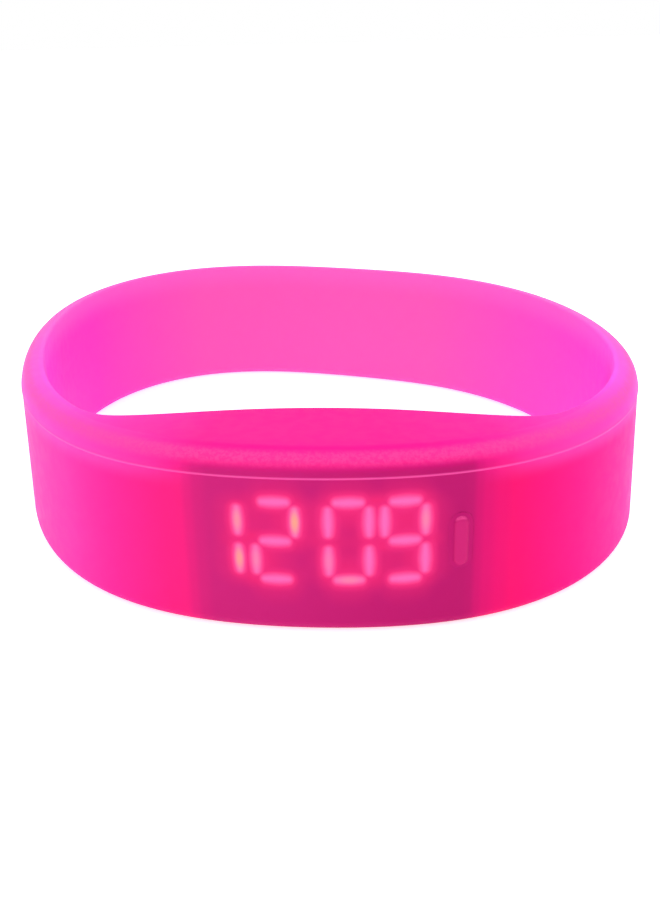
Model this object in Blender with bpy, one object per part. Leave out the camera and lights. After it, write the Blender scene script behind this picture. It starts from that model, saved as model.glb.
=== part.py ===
"""LED bracelet watch: a closed silicone loop with a seven-segment clock module in its front.

Metres, +Z up. The origin is under the middle of the loop, on the surface it stands on.
The module faces -Y. Inside the module, positions are x to the right, y as depth behind the
loop's outer skin, and z up from the middle of the band's height.
"""

import math

import bmesh
import bpy
from mathutils import Matrix, Vector

MM = 0.001

# Loop outline, seen from above
LOOP_WIDTH = 68.8 * MM
LOOP_DEPTH_RATIO = 1.138
LOOP_OVAL = 0.087
LOOP_OVAL_TURN = math.radians(-26.9)
LOOP_EGG = 0.0255
LOOP_EGG_TURN = math.radians(3.4)
LOOP_SQUARE = -0.022
LOOP_TURN = math.radians(2.5)
LOOP_STEPS = 144

# Band cross-section
BAND_HEIGHT = 16.6 * MM
BAND_WALL = 2.5 * MM
BAND_TAPER = 0.045
TOP_OUTER_RADIUS = 2.1 * MM
TOP_INNER_RADIUS = 0.35 * MM
FOOT_OUTER_RADIUS = 1.2 * MM
FOOT_INNER_RADIUS = 1.2 * MM
BULGE_DEPTH = 11.25 * MM
BULGE_BLEND = 2.2 * MM
BULGE_BOW_RADIUS = 90.0 * MM
BULGE_SHIFT = -3.5 * MM
BULGE_FACING = 0.1
SKIN = 1.3 * MM

# Clearances between pieces, and how far a cutter runs past what it cuts
GAP = 0.3 * MM
FINE_GAP = 0.12 * MM
CUT_PAST = 1.0 * MM

# Clock module
CORE_WIDTH = 25.6 * MM
CORE_HEIGHT = 13.6 * MM
CORE_CORNER = 2.2 * MM
CORE_WALL = 0.9 * MM
CORE_FRONT = SKIN + GAP
CORE_RIM = 8.85 * MM
CORE_BACK = 10.0 * MM
COVER_FRONT = 9.27 * MM
GASKET_FRONT = 8.95 * MM
GASKET_BACK = 9.17 * MM
GASKET_WIDTH = 0.6 * MM
GASKET_INSET = 0.4 * MM
COVER_EDGE = 0.2 * MM
HOLLOW_CORNER = 0.3 * MM
# The screw blocks fill the shell's corners outside these half sizes
BLOCK_X = 9.9 * MM
BLOCK_Z = 3.4 * MM

# Case screws
SCREW_X = 10.9 * MM
SCREW_Z = 4.75 * MM
SCREW_HEAD_RADIUS = 0.95 * MM
SCREW_HEAD_HEIGHT = 0.4 * MM
SCREW_SHANK_RADIUS = 0.4 * MM
SCREW_LENGTH = 3.2 * MM
SCREW_POINT = 0.4 * MM
SCREW_RECESS = 0.05 * MM
SCREW_HEAD_EDGE = 0.15 * MM
CROSS_REACH = 0.57 * MM
CROSS_WIDTH = 0.24 * MM
CROSS_DEPTH = 0.3 * MM

# Digits: height, width and stroke of one figure, and where each figure's middle is
DIGIT_HEIGHT = 8.2 * MM
DIGIT_WIDTH = 4.45 * MM
DIGIT_STROKE = 1.05 * MM
SEGMENT_GAP = 0.28 * MM
WELL_GAP = 0.08 * MM
DIGIT_CENTRES = {
    "hour_tens": -9.9 * MM,
    "hour_units": -5.05 * MM,
    "minute_tens": 1.1 * MM,
    "minute_units": 5.8 * MM,
}
DIGIT_Z = 0.5 * MM
COLON_X = -2.1 * MM
COLON_Z = 1.9 * MM
COLON_RADIUS = 0.5 * MM
REFLECTOR_LEFT = -9.6 * MM
REFLECTOR_RIGHT = 8.9 * MM
REFLECTOR_HEIGHT = 9.8 * MM
REFLECTOR_CORNER = 0.6 * MM
REFLECTOR_FRONT = CORE_FRONT + 0.15 * MM
REFLECTOR_BACK = 4.75 * MM
GUIDE_BACK = 4.6 * MM

# Circuit board and what is on it
BOARD_FRONT = 4.9 * MM
BOARD_BACK = 5.5 * MM
BOARD_WIDTH = 23.2 * MM
BOARD_HEIGHT = 11.4 * MM
BOARD_NOTCH_X = 9.6 * MM
BOARD_NOTCH_Z = 3.1 * MM
SOLDER_GAP = 0.1 * MM
BOX_CORNER = 0.1 * MM
CHIP_SIZE = (4.4 * MM, 1.0 * MM, 4.4 * MM)
CHIP_X = 6.3 * MM
CHIP_Z = 1.5 * MM
CHIP_EDGE = 0.06 * MM
SMALL_PART_WIDTH = 1.6 * MM
SMALL_PART_HEIGHT = 0.8 * MM
SMALL_PART_PITCH = 1.25 * MM
SMALL_PART_EDGE = 0.03 * MM
SMALL_PARTS_X = 9.9 * MM
SMALL_PARTS_Z = 2.4 * MM
RESISTOR_THICKNESS = 0.35 * MM
CAPACITOR_THICKNESS = 0.8 * MM
CAN_RADIUS = 0.75 * MM
CAN_LENGTH = 4.6 * MM
CAN_EDGE = 0.2 * MM
CAN_X = 8.4 * MM
CAN_Z = -3.6 * MM

# Coin cell, its insulating washer and its two springs
CELL_X = -3.9 * MM
CELL_RADIUS = 5.0 * MM
CELL_FRONT = 6.3 * MM
CELL_THICKNESS = 2.5 * MM
CELL_CAP_RADIUS = 4.3 * MM
CELL_CAP_THICKNESS = 0.5 * MM
CELL_EDGE = 0.2 * MM
WASHER_INNER_RADIUS = 2.8 * MM
WASHER_FRONT = BOARD_BACK + 0.08 * MM
WASHER_THICKNESS = 0.1 * MM
SPRING_FRONT = 5.6 * MM
CONTACT_THICKNESS = 0.12 * MM
CONTACT_WIDTH = 2.0 * MM
CLIP_BACK = 8.92 * MM
CLIP_THICKNESS = 0.15 * MM
CLIP_WIDTH = 3.6 * MM

# Button
BUTTON_X = 10.5 * MM
BUTTON_WIDTH = 1.4 * MM
BUTTON_HEIGHT = 4.6 * MM
BUTTON_PROUD = 0.4 * MM
# How far the leaning skin lies behind its foot, at the height of the button's middle
BUTTON_LEAN = BAND_TAPER * BAND_HEIGHT / 2
BUTTON_EDGE = 0.25 * MM
BUTTON_CLEARANCE = 0.15 * MM
PILL_LAND = 0.005 * MM
KEY_FRONT = 2.62 * MM
KEY_BACK = 3.6 * MM
PLUNGER_FRONT = 3.72 * MM
PLUNGER_BACK = 4.22 * MM
PLUNGER_RADIUS = 0.45 * MM
SWITCH_FRONT = 4.12 * MM
SWITCH_BACK = 4.8 * MM
SWITCH_FLOOR = 4.65 * MM
SWITCH_WIDTH = 1.9 * MM
SWITCH_HEIGHT = 2.6 * MM

DIGIT_SEGMENTS = {
    "hour_tens": "bc",
    "hour_units": "abcdefg",
    "minute_tens": "abcdefg",
    "minute_units": "abcdefg",
}


def clear_scene():
    for old in list(bpy.data.objects):
        bpy.data.objects.remove(old, do_unlink=True)


def make_material(name, colour, roughness, metallic=0.0):
    material = bpy.data.materials.new(name)
    material.use_nodes = True
    shader = material.node_tree.nodes["Principled BSDF"]
    shader.inputs["Base Color"].default_value = (*colour, 1.0)
    shader.inputs["Roughness"].default_value = roughness
    shader.inputs["Metallic"].default_value = metallic
    return material


def make_materials():
    return {
        "silicone": make_material("pink_silicone", (0.95, 0.03, 0.32), 0.5),
        "pad": make_material("pad_silicone", (0.95, 0.08, 0.38), 0.45),
        "shell": make_material("smoke_plastic", (0.16, 0.02, 0.06), 0.4),
        "cover": make_material("cover_plastic", (0.80, 0.80, 0.80), 0.45),
        "reflector": make_material("reflector_plastic", (0.05, 0.05, 0.055), 0.6),
        "guide": make_material("guide_plastic", (1.0, 0.35, 0.25), 0.3),
        "board": make_material("board_laminate", (0.02, 0.18, 0.07), 0.5),
        "chip": make_material("chip_resin", (0.02, 0.02, 0.02), 0.5),
        "ceramic": make_material("ceramic", (0.55, 0.45, 0.33), 0.6),
        "steel": make_material("steel", (0.60, 0.60, 0.62), 0.3, 1.0),
        "brass": make_material("gilt_brass", (0.75, 0.58, 0.28), 0.3, 1.0),
        "film": make_material("insulating_film", (0.75, 0.40, 0.05), 0.4),
        "gasket": make_material("gasket_rubber", (0.03, 0.03, 0.03), 0.8),
        "switch": make_material("switch_plastic", (0.12, 0.12, 0.12), 0.5),
    }


def loop_radius(angle):
    oval = LOOP_OVAL * math.cos(2 * (angle - LOOP_OVAL_TURN))
    egg = LOOP_EGG * math.cos(3 * (angle - LOOP_EGG_TURN))
    square = LOOP_SQUARE * math.cos(4 * angle)
    return 1 + oval + egg + square


def unit_outline(angle):
    radius = loop_radius(angle)
    point = Vector((radius * math.cos(angle), LOOP_DEPTH_RATIO * radius * math.sin(angle)))
    cosine, sine = math.cos(LOOP_TURN), math.sin(LOOP_TURN)
    return Vector((cosine * point.x - sine * point.y, sine * point.x + cosine * point.y))


def outline_frame(fine_steps=2880):
    """Scale, middle and foremost angle of the loop's outline."""
    angles = [2 * math.pi * step / fine_steps for step in range(fine_steps)]
    points = [unit_outline(angle) for angle in angles]
    low = Vector((min(p.x for p in points), min(p.y for p in points)))
    high = Vector((max(p.x for p in points), max(p.y for p in points)))
    foremost = min(zip(angles, points), key=lambda pair: pair[1].y)[0]
    return LOOP_WIDTH / (high.x - low.x), (low + high) / 2, foremost


SCALE, MIDDLE, FRONT_ANGLE = outline_frame()


def outline(angle):
    return (unit_outline(angle) - MIDDLE) * SCALE


def inward_normal(angle, step=0.001):
    along = (outline(angle + step) - outline(angle - step)).normalized()
    return Vector((-along.y, along.x))


FRONT = outline(FRONT_ANGLE)


def front_bow_radius():
    """Radius of the circle through the outline at the module's two sides and its middle."""
    reach = CORE_WIDTH / 2
    angle = FRONT_ANGLE
    while outline(angle).x - FRONT.x < reach:
        angle += 0.002
    rise_right = outline(angle).y - FRONT.y
    while outline(angle).x - FRONT.x > -reach:
        angle -= 0.002
    rise_left = outline(angle).y - FRONT.y
    rise = (rise_left + rise_right) / 2
    return (reach * reach + rise * rise) / (2 * rise)


BOW_RADIUS = front_bow_radius()


def bow(x):
    """How far behind the module's foremost line the skin lies, x to the side of its middle."""
    return BOW_RADIUS - math.sqrt(BOW_RADIUS * BOW_RADIUS - x * x)


def wall_thickness(angle):
    """Plain wall, thickened at the front up to a nearly flat inner face."""
    inward = inward_normal(angle)
    if inward.y < BULGE_FACING:
        return BAND_WALL
    aside = outline(angle).x - FRONT.x
    if abs(aside) > LOOP_WIDTH / 2:
        return BAND_WALL
    inner_bow = BULGE_BOW_RADIUS - math.sqrt(BULGE_BOW_RADIUS**2 - (aside - BULGE_SHIFT) ** 2)
    flat = (FRONT.y + BULGE_DEPTH - inner_bow - outline(angle).y) / inward.y
    spread = math.hypot(flat - BAND_WALL, BULGE_BLEND)
    return (BAND_WALL + flat + spread) / 2


def arc(centre, radius, start, end, steps):
    """Points on a quarter turn in the cross-section, as (inset, z)."""
    points = []
    for step in range(steps + 1):
        turn = math.radians(start + (end - start) * step / steps)
        points.append((centre[0] + radius * math.cos(turn), centre[1] + radius * math.sin(turn)))
    return points


def band_section(thickness):
    """Closed cross-section, from the outer foot up, over the top and down the inner side."""
    points = arc((FOOT_OUTER_RADIUS, FOOT_OUTER_RADIUS), FOOT_OUTER_RADIUS, 270, 180, 3)
    top = BAND_HEIGHT - TOP_OUTER_RADIUS
    points += arc((TOP_OUTER_RADIUS, top), TOP_OUTER_RADIUS, 180, 90, 5)
    inner_top = (thickness - TOP_INNER_RADIUS, BAND_HEIGHT - TOP_INNER_RADIUS)
    points += arc(inner_top, TOP_INNER_RADIUS, 90, 0, 3)
    inner_foot = (thickness - FOOT_INNER_RADIUS, FOOT_INNER_RADIUS)
    points += arc(inner_foot, FOOT_INNER_RADIUS, 0, -90, 2)
    # The loop leans in slightly towards its upper edge. The thick front's inner face stays nearly upright.
    lean = []
    for inset, height in points:
        share = (BAND_WALL / thickness) ** 2 if inset > thickness / 2 else 1.0
        lean.append((inset + BAND_TAPER * height * share, height))
    return lean


def link(name, mesh, material):
    mesh.materials.append(material)
    made = bpy.data.objects.new(name, mesh)
    bpy.context.scene.collection.objects.link(made)
    return made


def mesh_from(name, vertices, faces):
    """Closed mesh with its faces turned outward."""
    shape = bmesh.new()
    corners = [shape.verts.new(vertex) for vertex in vertices]
    for face in faces:
        shape.faces.new([corners[index] for index in face])
    bmesh.ops.recalc_face_normals(shape, faces=shape.faces)
    mesh = bpy.data.meshes.new(name)
    shape.to_mesh(mesh)
    shape.free()
    return mesh


def smooth(made, angle=35):
    made.data.shade_smooth()
    made.data.set_sharp_from_angle(angle=math.radians(angle))
    return made


def rings_mesh(name, rings):
    """Mesh through rings of equal length that close on themselves both ways round."""
    count = len(rings[0])
    vertices = [point for ring in rings for point in ring]
    faces = []
    for ring in range(len(rings)):
        following = (ring + 1) % len(rings)
        for index in range(count):
            beside = (index + 1) % count
            faces.append(
                (
                    ring * count + index,
                    ring * count + beside,
                    following * count + beside,
                    following * count + index,
                )
            )
    return mesh_from(name, vertices, faces)


def make_band(materials):
    rings = []
    for step in range(LOOP_STEPS):
        angle = FRONT_ANGLE + 2 * math.pi * step / LOOP_STEPS
        skin = outline(angle)
        inward = inward_normal(angle)
        ring = []
        for inset, height in band_section(wall_thickness(angle)):
            place = skin + inward * inset
            ring.append((place.x, place.y, height))
        rings.append(ring)
    return smooth(link("band", rings_mesh("band", rings), materials["silicone"]))


def rounded_columns(left, right, height, corner, steps=14, corner_steps=4):
    """(x, half height) down a rounded rectangle, from its left side to its right."""
    columns = []
    for step in range(corner_steps):
        turn = math.pi / 2 * step / corner_steps
        drop = corner * (1 - math.sin(turn))
        columns.append((left + corner * (1 - math.cos(turn)), height / 2 - drop))
    straight = right - left - 2 * corner
    for step in range(steps + 1):
        columns.append((left + corner + straight * step / steps, height / 2))
    for step in range(corner_steps):
        turn = math.pi / 2 * (step + 1) / corner_steps
        drop = corner * (1 - math.cos(turn))
        columns.append((right - corner * (1 - math.sin(turn)), height / 2 - drop))
    return columns


def bowed_mesh(name, columns, front, back):
    """Slab whose front face bows with the skin and whose back is flat."""
    vertices = []
    for x, half in columns:
        fore = front + bow(x)
        for depth, z in ((fore, half), (back, half), (back, -half), (fore, -half)):
            vertices.append((x, depth, z))
    faces = [(0, 1, 2, 3)]
    last = 4 * (len(columns) - 1)
    faces.append((last + 3, last + 2, last + 1, last))
    for column in range(len(columns) - 1):
        for side in range(4):
            beside = (side + 1) % 4
            near = 4 * column
            faces.append((near + side, near + 4 + side, near + 4 + beside, near + beside))
    return mesh_from(name, vertices, faces)


def rounded_outline(width, height, corner, corner_steps=4):
    """Rounded rectangle about (0, 0), as (x, z) going round once."""
    points = []
    for across, up, start in ((1, 1, 0), (-1, 1, 90), (-1, -1, 180), (1, -1, 270)):
        for step in range(corner_steps + 1):
            turn = math.radians(start + 90 * step / corner_steps)
            x = across * (width / 2 - corner) + corner * math.cos(turn)
            z = up * (height / 2 - corner) + corner * math.sin(turn)
            points.append((x, z))
    return points


def prism_mesh(name, points, front, back):
    """Outline in x and z pushed through in depth. Front is a depth, or a function of x."""
    depth_at = front if callable(front) else lambda x: front
    count = len(points)
    vertices = [(x, depth_at(x), z) for x, z in points] + [(x, back, z) for x, z in points]
    faces = [tuple(range(count)), tuple(reversed(range(count, 2 * count)))]
    for index in range(count):
        beside = (index + 1) % count
        faces.append((index, count + index, count + beside, beside))
    return mesh_from(name, vertices, faces)


def turned_mesh(name, profile, steps=24):
    """Solid of revolution about the depth axis from (radius, depth) points; both ends on the axis."""
    vertices = [(0.0, profile[0][1], 0.0)]
    for radius, depth in profile[1:-1]:
        for step in range(steps):
            turn = 2 * math.pi * step / steps
            vertices.append((radius * math.cos(turn), depth, radius * math.sin(turn)))
    vertices.append((0.0, profile[-1][1], 0.0))
    faces = []
    rings = len(profile) - 2
    for step in range(steps):
        beside = (step + 1) % steps
        faces.append((0, 1 + step, 1 + beside))
        for ring in range(rings - 1):
            here = 1 + ring * steps
            faces.append((here + step, here + steps + step, here + steps + beside, here + beside))
        end = 1 + (rings - 1) * steps
        faces.append((end + beside, end + step, len(vertices) - 1))
    return mesh_from(name, vertices, faces)


def strip_mesh(name, path, thickness, width):
    """Bent metal strip: a path in x and depth, with its thickness to one side, pushed along z."""
    sides = ([], [])
    for index, (x, depth) in enumerate(path):
        before = Vector(path[max(index - 1, 0)])
        after = Vector(path[min(index + 1, len(path) - 1)])
        here = Vector((x, depth))
        ways = [way.normalized() for way in (here - before, after - here) if way.length > 0]
        mean = sum(ways, Vector((0, 0))).normalized()
        across = Vector((-mean.y, mean.x)) * thickness / max(0.3, mean.dot(ways[0]))
        sides[0].append(here)
        sides[1].append(here + across)
    outline_points = sides[0] + sides[1][::-1]
    count = len(outline_points)
    vertices = [(p.x, p.y, width / 2) for p in outline_points]
    vertices += [(p.x, p.y, -width / 2) for p in outline_points]
    faces = [tuple(range(count)), tuple(reversed(range(count, 2 * count)))]
    for index in range(count):
        beside = (index + 1) % count
        faces.append((index, count + index, count + beside, beside))
    return mesh_from(name, vertices, faces)


def place(made, module, x=0.0, depth=0.0, z=0.0):
    made.parent = module
    made.location = (x, depth, z)
    return made


def cut(target, mesh, module, x=0.0, depth=0.0, z=0.0):
    """Take a shape away from the target, leaving the cutter in the scene as a hidden helper."""
    cutter = bpy.data.objects.new(target.name + "_cutter", mesh)
    bpy.context.scene.collection.objects.link(cutter)
    place(cutter, module, x, depth, z)
    cutter.hide_render = True
    cutter.display_type = "WIRE"
    removal = target.modifiers.new("cut_" + mesh.name, "BOOLEAN")
    removal.operation = "DIFFERENCE"
    removal.solver = "EXACT"
    removal.object = cutter


def bevel(made, width, segments=2, angle=40):
    edge = made.modifiers.new("edge", "BEVEL")
    edge.width = width
    edge.segments = segments
    edge.limit_method = "ANGLE"
    edge.angle_limit = math.radians(angle)
    return made


def pill(width, height, corner_steps=5):
    """Upright outline with round ends, kept a hair short of a full half circle."""
    return rounded_outline(width, height, width / 2 - PILL_LAND, corner_steps)


def cut_band(band, module):
    """The pocket that holds the module, open to the wrist, and the slot for the button pad."""
    half = CORE_WIDTH / 2 + GAP
    columns = rounded_columns(-half, half, CORE_HEIGHT + 2 * GAP, CORE_CORNER + GAP)
    cut(band, bowed_mesh("pocket", columns, SKIN, BULGE_DEPTH + 3 * CUT_PAST), module)
    slot = pill(BUTTON_WIDTH + 2 * BUTTON_CLEARANCE, BUTTON_HEIGHT + 2 * BUTTON_CLEARANCE)
    cut(band, prism_mesh("pad_slot", slot, -CUT_PAST, KEY_FRONT + GAP), module, BUTTON_X)


def make_front_shell(materials, module):
    """Hollow case front with a window for the display, a slot for the key and four pilot holes."""
    half = CORE_WIDTH / 2
    columns = rounded_columns(-half, half, CORE_HEIGHT, CORE_CORNER)
    shell_mesh = bowed_mesh("core_front_shell", columns, CORE_FRONT, CORE_RIM)
    shell = place(link("core_front_shell", shell_mesh, materials["shell"]), module)
    inside = half - CORE_WALL
    lining = CORE_FRONT + CORE_WALL
    past_rim = CORE_RIM + CUT_PAST
    wide = rounded_columns(-inside, inside, 2 * BLOCK_Z, HOLLOW_CORNER, corner_steps=2)
    cut(shell, bowed_mesh("hollow_wide", wide, lining, past_rim), module)
    tall_height = CORE_HEIGHT - 2 * CORE_WALL
    tall = rounded_columns(-BLOCK_X, BLOCK_X, tall_height, HOLLOW_CORNER, corner_steps=2)
    cut(shell, bowed_mesh("hollow_tall", tall, lining, past_rim), module)
    window = prism_mesh("window", reflector_outline(2 * FINE_GAP), 0, REFLECTOR_BACK)
    cut(shell, window, module)
    slot = pill(BUTTON_WIDTH + BUTTON_CLEARANCE, BUTTON_HEIGHT + BUTTON_CLEARANCE)
    cut(shell, prism_mesh("key_slot", slot, 0, REFLECTOR_BACK), module, BUTTON_X)
    pilot_radius = SCREW_SHANK_RADIUS + FINE_GAP
    pilot_floor = CORE_RIM - SCREW_LENGTH
    pilot = [(0, pilot_floor), (pilot_radius, pilot_floor), (pilot_radius, past_rim), (0, past_rim)]
    for index, (x, z) in enumerate(screw_places()):
        cut(shell, turned_mesh(f"pilot_{index}", pilot, 12), module, x, 0, z)
    return smooth(shell)


def screw_places():
    return [(x, z) for x in (-SCREW_X, SCREW_X) for z in (-SCREW_Z, SCREW_Z)]


def make_back_cover(materials, module):
    """Flat plate on the wrist side, with a sunk hole for each screw."""
    outline_points = rounded_outline(CORE_WIDTH, CORE_HEIGHT, CORE_CORNER, 6)
    mesh = prism_mesh("core_back_cover", outline_points, COVER_FRONT, CORE_BACK)
    cover = place(link("core_back_cover", mesh, materials["cover"]), module)
    bevel(cover, COVER_EDGE, 2, 60)
    head_floor = CORE_BACK - SCREW_RECESS - SCREW_HEAD_HEIGHT - FINE_GAP
    shank_radius = SCREW_SHANK_RADIUS + FINE_GAP
    head_radius = SCREW_HEAD_RADIUS + FINE_GAP
    hole = [(0, COVER_FRONT - CUT_PAST), (shank_radius, COVER_FRONT - CUT_PAST)]
    hole += [(shank_radius, head_floor), (head_radius, head_floor)]
    hole += [(head_radius, CORE_BACK + CUT_PAST), (0, CORE_BACK + CUT_PAST)]
    for index, (x, z) in enumerate(screw_places()):
        cut(cover, turned_mesh(f"screw_hole_{index}", hole, 16), module, x, 0, z)
    return smooth(cover)


def make_screws(materials, module):
    """Pan-head case screws with a cross slot, heads just below the cover's back."""
    top = CORE_BACK - SCREW_RECESS
    under = top - SCREW_HEAD_HEIGHT
    tip = top - SCREW_LENGTH
    profile = [(0, tip), (SCREW_SHANK_RADIUS / 2, tip), (SCREW_SHANK_RADIUS, tip + SCREW_POINT)]
    profile += [(SCREW_SHANK_RADIUS, under), (SCREW_HEAD_RADIUS, under)]
    profile += [(SCREW_HEAD_RADIUS, top - SCREW_HEAD_EDGE), (SCREW_HEAD_RADIUS - SCREW_HEAD_EDGE, top)]
    profile.append((0, top))
    arm, half = CROSS_REACH, CROSS_WIDTH / 2
    cross = [(arm, half), (half, half), (half, arm), (-half, arm), (-half, half), (-arm, half)]
    cross += [(-x, -z) for x, z in cross]
    for index, (x, z) in enumerate(screw_places()):
        mesh = turned_mesh("case_screw", profile, 20)
        screw = place(link(f"case_screw_{index + 1}", mesh, materials["steel"]), module, x, 0, z)
        slot = prism_mesh(f"cross_slot_{index}", cross, top - CROSS_DEPTH, top + CUT_PAST)
        cut(screw, slot, module, x, 0, z)
        smooth(screw)


def make_gasket(materials, module):
    """Flat rubber ring between the shell's rim and the cover."""
    width = CORE_WIDTH - 2 * GASKET_INSET
    height = CORE_HEIGHT - 2 * GASKET_INSET
    corner = CORE_CORNER - GASKET_INSET
    outer = rounded_outline(width, height, corner, 5)
    inner = rounded_outline(width - 2 * GASKET_WIDTH, height - 2 * GASKET_WIDTH, corner - GASKET_WIDTH, 5)
    rings = []
    for (outer_x, outer_z), (inner_x, inner_z) in zip(outer, inner):
        rings.append(
            [
                (outer_x, GASKET_FRONT, outer_z),
                (outer_x, GASKET_BACK, outer_z),
                (inner_x, GASKET_BACK, inner_z),
                (inner_x, GASKET_FRONT, inner_z),
            ]
        )
    gasket = link("case_gasket", rings_mesh("case_gasket", rings), materials["gasket"])
    return place(gasket, module)


def segment_shapes():
    """Outline and middle of each of a figure's seven segments, as {letter: (points, x, z)}."""
    stroke = DIGIT_STROKE / 2
    flat = (DIGIT_WIDTH - DIGIT_STROKE) / 2 - SEGMENT_GAP
    tall = (DIGIT_HEIGHT - DIGIT_STROKE) / 4 - SEGMENT_GAP
    across = [(-flat, 0), (-flat + stroke, stroke), (flat - stroke, stroke)]
    across += [(flat, 0), (flat - stroke, -stroke), (-flat + stroke, -stroke)]
    upright = [(0, tall), (-stroke, tall - stroke), (-stroke, stroke - tall)]
    upright += [(0, -tall), (stroke, stroke - tall), (stroke, tall - stroke)]
    side = (DIGIT_WIDTH - DIGIT_STROKE) / 2
    end = (DIGIT_HEIGHT - DIGIT_STROKE) / 2
    return {
        "a": (across, 0, end),
        "b": (upright, side, end / 2),
        "c": (upright, side, -end / 2),
        "d": (across, 0, -end),
        "e": (upright, -side, -end / 2),
        "f": (upright, -side, end / 2),
        "g": (across, 0, 0),
    }


def grown(points, margin):
    """Outline of a segment or dot pushed out from its own middle by about the margin."""
    reach_x = max(abs(x) for x, z in points)
    reach_z = max(abs(z) for x, z in points)
    return [(x * (1 + margin / reach_x), z * (1 + margin / reach_z)) for x, z in points]


def dot_outline(steps=12):
    turns = [2 * math.pi * step / steps for step in range(steps)]
    return [(COLON_RADIUS * math.cos(turn), COLON_RADIUS * math.sin(turn)) for turn in turns]


def light_places():
    """Every light guide of the display, as (name, outline, x, z)."""
    shapes = segment_shapes()
    lights = []
    for figure, letters in DIGIT_SEGMENTS.items():
        for letter in letters:
            points, x, z = shapes[letter]
            name = f"segment_{figure}_{letter}"
            lights.append((name, points, DIGIT_CENTRES[figure] + x, DIGIT_Z + z))
    lights.append(("colon_dot_upper", dot_outline(), COLON_X, DIGIT_Z + COLON_Z))
    lights.append(("colon_dot_lower", dot_outline(), COLON_X, DIGIT_Z - COLON_Z))
    return lights


def make_light_guides(materials, module):
    for name, points, x, z in light_places():
        mesh = prism_mesh(name, points, lambda across: REFLECTOR_FRONT + bow(x + across), GUIDE_BACK)
        place(link(name, mesh, materials["guide"]), module, x, 0, z)


def reflector_outline(margin):
    width = REFLECTOR_RIGHT - REFLECTOR_LEFT + 2 * margin
    middle = (REFLECTOR_RIGHT + REFLECTOR_LEFT) / 2
    points = rounded_outline(width, REFLECTOR_HEIGHT + 2 * margin, REFLECTOR_CORNER, 3)
    return [(x + middle, z + DIGIT_Z) for x, z in points]


def make_reflector(materials, module):
    """Opaque block with one well for each light guide."""
    columns = rounded_columns(REFLECTOR_LEFT, REFLECTOR_RIGHT, REFLECTOR_HEIGHT, REFLECTOR_CORNER, 12, 2)
    mesh = bowed_mesh("digit_reflector", columns, REFLECTOR_FRONT, REFLECTOR_BACK)
    mesh.transform(Matrix.Translation((0, 0, DIGIT_Z)))
    block = place(link("digit_reflector", mesh, materials["reflector"]), module)
    for name, points, x, z in light_places():
        well = prism_mesh("well_" + name, grown(points, WELL_GAP), 0, REFLECTOR_BACK + CUT_PAST)
        cut(block, well, module, x, 0, z)


def make_board(materials, module):
    """Circuit board, notched at its four corners to pass the screw blocks."""
    half_x, half_z = BOARD_WIDTH / 2, BOARD_HEIGHT / 2
    quarter = [(half_x, BOARD_NOTCH_Z), (BOARD_NOTCH_X, BOARD_NOTCH_Z), (BOARD_NOTCH_X, half_z)]
    points = list(quarter)
    points += [(-x, z) for x, z in reversed(quarter)]
    points += [(-x, -z) for x, z in quarter]
    points += [(x, -z) for x, z in reversed(quarter)]
    mesh = prism_mesh("circuit_board", points, BOARD_FRONT, BOARD_BACK)
    place(link("circuit_board", mesh, materials["board"]), module)


def make_box(name, material, module, size, centre, edge):
    width, thickness, height = size
    points = rounded_outline(width, height, BOX_CORNER, 1)
    mesh = prism_mesh(name, points, -thickness / 2, thickness / 2)
    return place(bevel(link(name, mesh, material), edge, 1, 60), module, *centre)


def make_components(materials, module):
    """Parts soldered to the back of the board, beside the coin cell."""
    seat = BOARD_BACK + SOLDER_GAP
    chip_centre = (CHIP_X, seat + CHIP_SIZE[1] / 2, CHIP_Z)
    make_box("driver_chip", materials["chip"], module, CHIP_SIZE, chip_centre, CHIP_EDGE)
    row = [(f"chip_resistor_{number}", "chip", RESISTOR_THICKNESS) for number in (1, 2, 3)]
    row += [(f"chip_capacitor_{number}", "ceramic", CAPACITOR_THICKNESS) for number in (1, 2)]
    for index, (name, material, thickness) in enumerate(row):
        size = (SMALL_PART_WIDTH, thickness, SMALL_PART_HEIGHT)
        centre = (SMALL_PARTS_X, seat + thickness / 2, SMALL_PARTS_Z - index * SMALL_PART_PITCH)
        make_box(name, materials[material], module, size, centre, SMALL_PART_EDGE)


def make_crystal_can(materials, module):
    """Small metal can lying on its side on the board."""
    inner = CAN_RADIUS - CAN_EDGE
    profile = [(0, 0), (inner, 0), (CAN_RADIUS, CAN_EDGE)]
    profile += [(CAN_RADIUS, CAN_LENGTH - CAN_EDGE), (inner, CAN_LENGTH), (0, CAN_LENGTH)]
    can = link("crystal_can", turned_mesh("crystal_can", profile, 16), materials["steel"])
    can.rotation_euler = (0, 0, math.radians(90))
    place(smooth(can), module, CAN_X, BOARD_BACK + SOLDER_GAP + CAN_RADIUS, CAN_Z)


def make_cell(materials, module):
    """Coin cell with its smaller cap towards the board."""
    back = CELL_FRONT + CELL_THICKNESS
    shoulder = CELL_FRONT + CELL_CAP_THICKNESS
    profile = [(0, CELL_FRONT), (CELL_CAP_RADIUS - CELL_EDGE, CELL_FRONT)]
    profile += [(CELL_CAP_RADIUS, CELL_FRONT + CELL_EDGE), (CELL_CAP_RADIUS, shoulder)]
    profile += [(CELL_RADIUS - CELL_EDGE, shoulder), (CELL_RADIUS, shoulder + CELL_EDGE)]
    profile += [(CELL_RADIUS, back - CELL_EDGE), (CELL_RADIUS - CELL_EDGE, back), (0, back)]
    cell = link("coin_cell", turned_mesh("coin_cell", profile, 40), materials["steel"])
    place(smooth(cell), module, CELL_X)


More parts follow.
